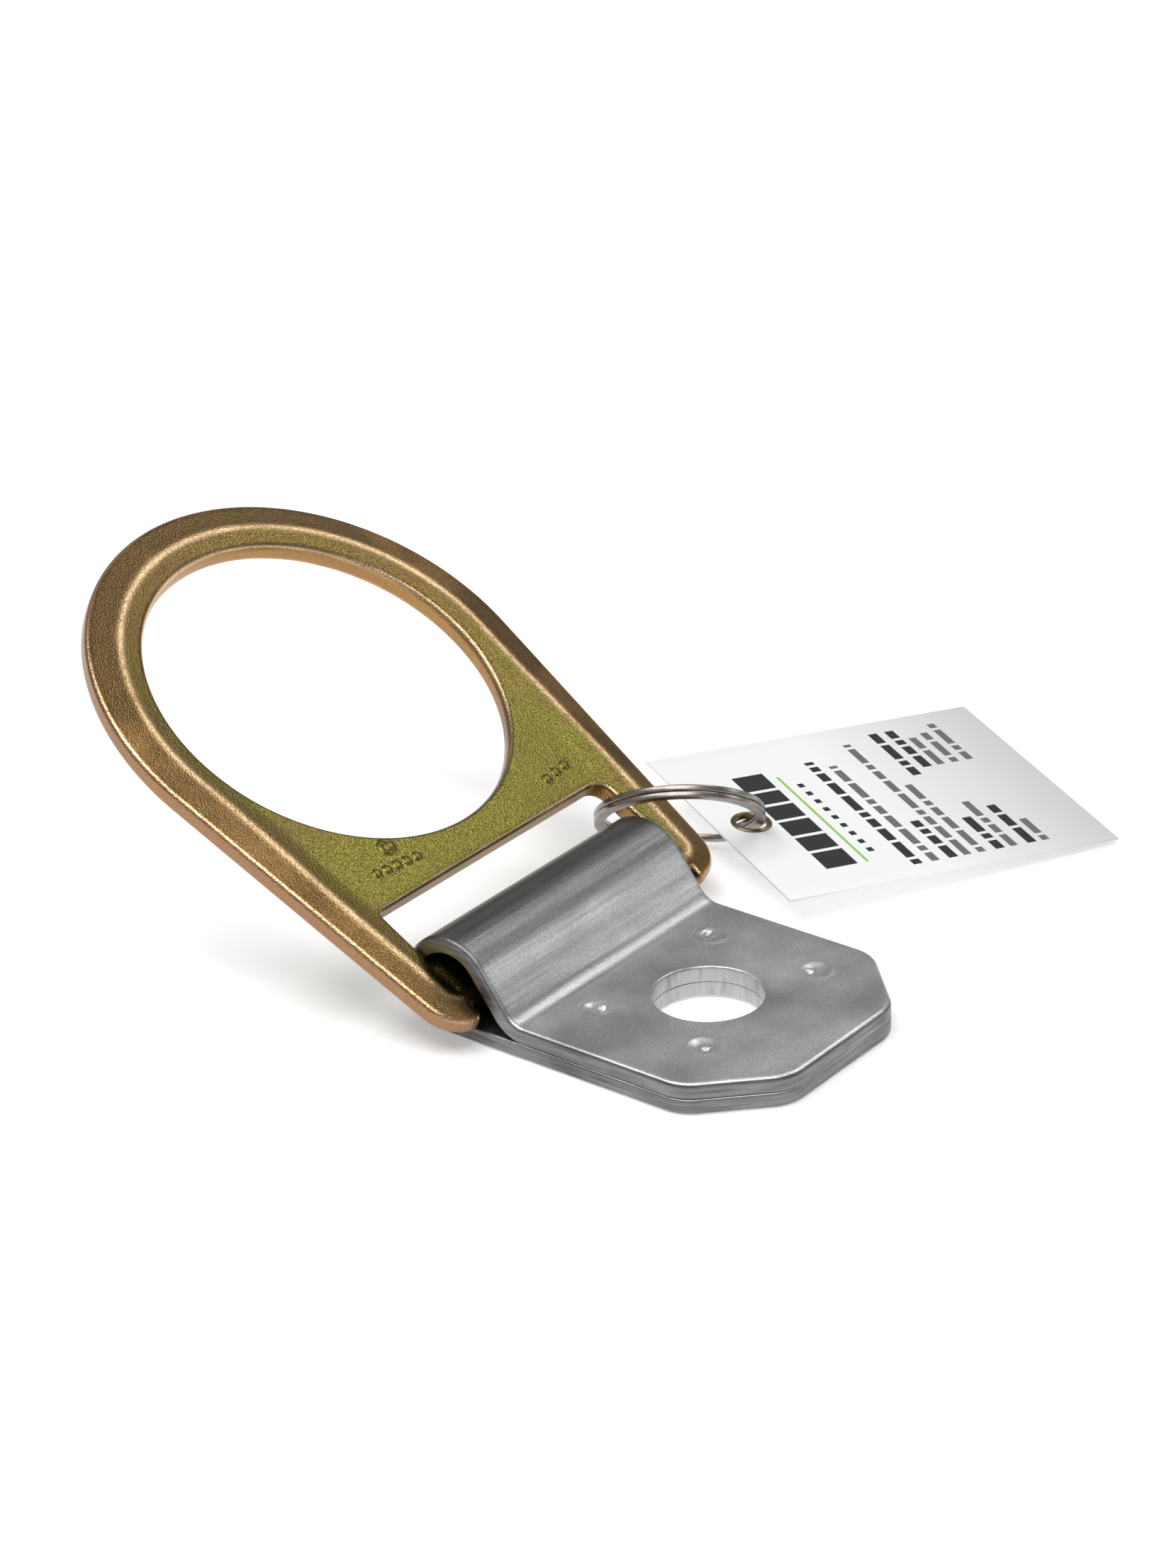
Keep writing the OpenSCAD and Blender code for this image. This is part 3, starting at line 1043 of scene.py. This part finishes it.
def tag_place():
    """From the card's own coordinates, x along it from its hole, to the row frame."""
    x, y, z = TAG_TURN
    turn = Matrix.Rotation(z, 4, "Z") @ Matrix.Rotation(y, 4, "Y") @ Matrix.Rotation(x, 4, "X")
    return Matrix.Translation(TAG_AT) @ turn


def print_bars():
    """Generic print on the card, as (x from, x to, y from, y to, ink) rectangles."""
    heading = [(-18.0, -12.6), (-11.8, -7.2), (-6.4, -1.6), (-0.8, 3.8), (4.6, 8.6), (9.4, 14.6)]
    bars = [(4.1, 9.9, start, stop, BLACK) for start, stop in heading]
    bars.append((11.5, 12.0, -18.0, 12.6, GREEN))
    bars += [(13.6, 14.7, -15.2 + 2.9 * i, -13.9 + 2.9 * i, BLACK) for i in range(9)]
    for k, (x, tall, start, stop) in enumerate(PRINT_ROWS):
        # The words' lengths follow a fixed pattern of four.
        y, word = start, 0
        while y < stop - WORD_GAP:
            end = min(stop, y + 1.6 + 2.4 * ((word * 7 + k * 5) % 4) / 2)
            bars.append((x, x + tall, y, end, BLACK if tall > BOLD else GREY))
            y = end + WORD_GAP
            word += 1
    return bars


def ink_at(bars, x, y):
    """Material slot of the print at a point of the card."""
    ink = BARE
    for x_from, x_to, y_from, y_to, shade in bars:
        if x_from < x < x_to and y_from < y < y_to:
            ink = shade
    return ink


def card_lines(bars):
    """Grid lines of the card's faces: its edges, those of the print, and those round the hole."""
    patch = [PATCH * i / PATCH_STEPS for i in range(-PATCH_STEPS, PATCH_STEPS + 1)]
    x0, x1, y1 = -TAG_INSET, TAG_L - TAG_INSET, TAG_W / 2
    xs = {x0 + CARD_SOFT, x1 - CARD_SOFT, *patch}
    ys = {-y1 + CARD_SOFT, y1 - CARD_SOFT, *patch}
    for x_from, x_to, y_from, y_to, _ in bars:
        xs |= {x_from, x_to}
        ys |= {y_from, y_to}
    return sorted(xs), sorted(ys)


def add_cells(verts, faces, xs, ys, z):
    """Adds one face of the card without the patch, and returns the middle of each cell."""
    middles = []
    for xa, xb in zip(xs, xs[1:]):
        for ya, yb in zip(ys, ys[1:]):
            cx, cy = (xa + xb) / 2, (ya + yb) / 2
            if abs(cx) < PATCH and abs(cy) < PATCH:
                continue
            base = len(verts)
            verts += [(xa, ya, z), (xb, ya, z), (xb, yb, z), (xa, yb, z)]
            faces.append((base, base + 1, base + 2, base + 3))
            middles.append((cx, cy))
    return middles


def square_ring(z, xs, ys):
    """Rows of the patch with its round hole, matched to the grid lines that end on its sides."""
    side_y = [y for y in ys if -PATCH <= y <= PATCH]
    side_x = [x for x in xs if -PATCH <= x <= PATCH]
    outline = [(PATCH, y) for y in side_y] + [(x, PATCH) for x in reversed(side_x)][1:]
    outline += [(-PATCH, y) for y in reversed(side_y)][1:] + [(x, -PATCH) for x in side_x][1:-1]
    rows = []
    for i in range(TO_HOLE_STEPS + 1):
        t = i / TO_HOLE_STEPS
        row = []
        for x, y in outline:
            k = 1 + (CARD_HOLE_R / math.hypot(x, y) - 1) * t
            row.append((x * k, y * k, z))
        rows.append(row)
    return rows


def outward(value, lines, by):
    """A value moved outwards if it is the first or the last of the grid lines."""
    if value == lines[-1]:
        return value + by
    if value == lines[0]:
        return value - by
    return value


def card_edge(xs, ys):
    """Rows round the card's outline, from its face over the rounded edge to its back."""
    flat = TAG_T / 2 - CARD_SOFT
    outline = [(x, ys[0]) for x in xs] + [(xs[-1], y) for y in ys[1:]]
    outline += [(x, ys[-1]) for x in reversed(xs[:-1])]
    outline += [(xs[0], y) for y in reversed(ys[1:-1])]
    rows = []
    # The first five rows turn over the face's rounding, and the other four over the back's.
    for i in range(9):
        a = math.radians(90 - 22.5 * i)
        out = CARD_SOFT * math.cos(a)
        z = (flat if i <= 4 else -flat) + CARD_SOFT * math.sin(a)
        rows.append([(outward(x, xs, out), outward(y, ys, out), z) for x, y in outline])
    return rows


def build_tag(materials):
    """The card as one slab, its printed face cut along the edges of the print."""
    verts, faces = [], []
    half_t = TAG_T / 2
    bars = print_bars()
    xs, ys = card_lines(bars)
    slots = [ink_at(bars, x, y) for x, y in add_cells(verts, faces, xs, ys, half_t)]
    front = square_ring(half_t, xs, ys)
    back = square_ring(-half_t, xs, ys)
    for rows in (front, back, [front[-1], back[-1]], card_edge(xs, ys)):
        slots += [BARE] * add_rows(verts, faces, rows)
    slots += [BARE] * len(add_cells(verts, faces, xs, ys, -half_t))
    place = tag_place()
    placed = [tuple(place @ Vector(p)) for p in verts]
    obj = add_piece("tag_sheet", placed, faces, materials, "tag", "tag_card", slots, sharp=40)
    own = place.inverted()
    # How far along the card each vertex lies, which sets the painted shade towards its far end.
    layer = obj.data.attributes.new("along", "FLOAT", "POINT")
    for i, vertex in enumerate(obj.data.vertices):
        layer.data[i].value = ((own @ (vertex.co / MM)).x + TAG_INSET) / TAG_L


def build_eyelet(material):
    """A rolled flange on each face of the card, joined by a thin barrel."""
    place = tag_place()
    inner, outer, half_t = EYELET_HOLE_R, EYELET_R, TAG_T / 2
    top = half_t + 0.35
    flange = [
        (inner, half_t - 0.1),
        (inner + 0.02, half_t + 0.14),
        (inner + 0.1, half_t + 0.27),
        (inner + 0.24, top),
        (inner + 0.42, top),
        (outer - 0.18, half_t + 0.27),
        (outer - 0.04, half_t + 0.15),
        (outer, half_t + 0.03),
        (outer - 0.1, half_t + 0.012),
        (inner + 0.25, half_t + 0.012),
    ]
    profile = flange + [(r, -z) for r, z in reversed(flange)]
    turns = 72
    verts, faces = [], []
    for i in range(turns):
        c, s = math.cos(math.tau * i / turns), math.sin(math.tau * i / turns)
        verts += [tuple(place @ Vector((r * c, r * s, z))) for r, z in profile]
    n = len(profile)
    for i in range(turns):
        here, there = i * n, (i + 1) % turns * n
        for k in range(n):
            after = (k + 1) % n
            faces.append((here + k, here + after, there + after, there + k))
    add_piece("eyelet_roll", verts, faces, [material], "tag", "tag_eyelet", sharp=60)


# ---------------------------------------------------------------- the object

build_strap([strap_material(), cut_material(), hole_material()])
# The weld nuggets keep their CAD mesh and only get a material.
fused_steel = weld_material()
for weld_slot in frame["nodes"]["spot_welds"].material_slots:
    weld_slot.material = fused_steel
forging, film_samples = build_ring(zinc_material())
store_film(forging, film_samples)
build_split_ring(spring_material())
build_tag([
    face_material(),
    card_material("ink_black", (0.025, 0.025, 0.028)),
    card_material("ink_grey", (0.16, 0.16, 0.165)),
    card_material("ink_green", (0.30, 0.62, 0.10)),
])
build_eyelet(eyelet_material())


# ---------------------------------------------------------------- stage, camera, light

FLOOR_HALF = 12.0
# The floor lies this far below z = 0, so that it doesn't share a plane with the strap.
FLOOR_DROP = 0.00005
# The camera's heading is from +Y towards -X, and down is below the horizon.
CAMERA_AT = (0.3896, -0.5177, 0.3621)
CAMERA_HEADING = math.radians(38.51)
CAMERA_DOWN = math.radians(26.30)
CAMERA_ROLL = math.radians(-1.82)
CAMERA_LENS = 110.26
# The point that all the lights face.
AIM = (-0.02, 0.01, 0.01)


def add_floor():
    """White floor just below the bracket, a little self-lit so that it renders as white."""
    n = Nodes("floor_white")
    cloud = n.noise(3, 2, 0.5)
    material = n.finish(0.0, n.curve(cloud, [(0.3, 0.93), (0.7, 0.95)]), 0.9)
    n.bsdf.inputs["Emission Color"].default_value = (1, 1, 1, 1)
    n.bsdf.inputs["Emission Strength"].default_value = 0.3
    n.bsdf.inputs["Specular IOR Level"].default_value = 0.1
    mesh = bpy.data.meshes.new("floor")
    corners = [(x * FLOOR_HALF, y * FLOOR_HALF, 0) for x, y in ((-1, -1), (1, -1), (1, 1), (-1, 1))]
    mesh.from_pydata(corners, [], [(0, 1, 2, 3)])
    mesh.materials.append(material)
    obj = bpy.data.objects.new("floor", mesh)
    bpy.context.scene.collection.objects.link(obj)
    obj.location.z = -FLOOR_DROP


def add_camera():
    """Camera placed so that the anchor's outlines fall where the photograph has them."""
    data = bpy.data.cameras.new("camera")
    data.sensor_fit = "AUTO"
    data.sensor_width = 36
    data.lens = CAMERA_LENS
    data.clip_end = 60
    obj = bpy.data.objects.new("camera", data)
    bpy.context.scene.collection.objects.link(obj)
    level = math.cos(CAMERA_DOWN)
    forward = Vector((
        -math.sin(CAMERA_HEADING) * level,
        math.cos(CAMERA_HEADING) * level,
        -math.sin(CAMERA_DOWN),
    ))
    turn = forward.to_track_quat("-Z", "Y").to_matrix().to_4x4()
    turn = turn @ Matrix.Rotation(CAMERA_ROLL, 4, "Z")
    obj.matrix_world = Matrix.Translation(Vector(CAMERA_AT)) @ turn
    bpy.context.scene.camera = obj


def add_light(name, at, size, watts):
    """White area light that faces the anchor."""
    data = bpy.data.lights.new(name, "AREA")
    data.shape = "RECTANGLE"
    data.size, data.size_y = size
    data.energy = watts
    obj = bpy.data.objects.new(name, data)
    bpy.context.scene.collection.objects.link(obj)
    obj.location = at
    obj.rotation_mode = "QUATERNION"
    obj.rotation_quaternion = (Vector(AIM) - Vector(at)).to_track_quat("-Z", "Y")


def add_world():
    """Even, slightly cool light from all round."""
    world = bpy.data.worlds.new("studio")
    bpy.context.scene.world = world
    world.use_nodes = True
    background = world.node_tree.nodes["Background"]
    background.inputs["Color"].default_value = (0.97, 0.98, 1.0, 1)
    background.inputs["Strength"].default_value = 0.32


add_floor()
add_camera()
add_world()
add_light("overhead", (0.0, -0.45, 1.25), (1.5, 0.8), 14)
add_light("crest_strip", (0.12, 0.90, 1.20), (0.8, 0.22), 3.0)
add_light("wall_side", (1.10, 1.30, 0.75), (0.6, 0.4), 1.6)

view = bpy.context.scene.view_settings
view.view_transform = "Standard"
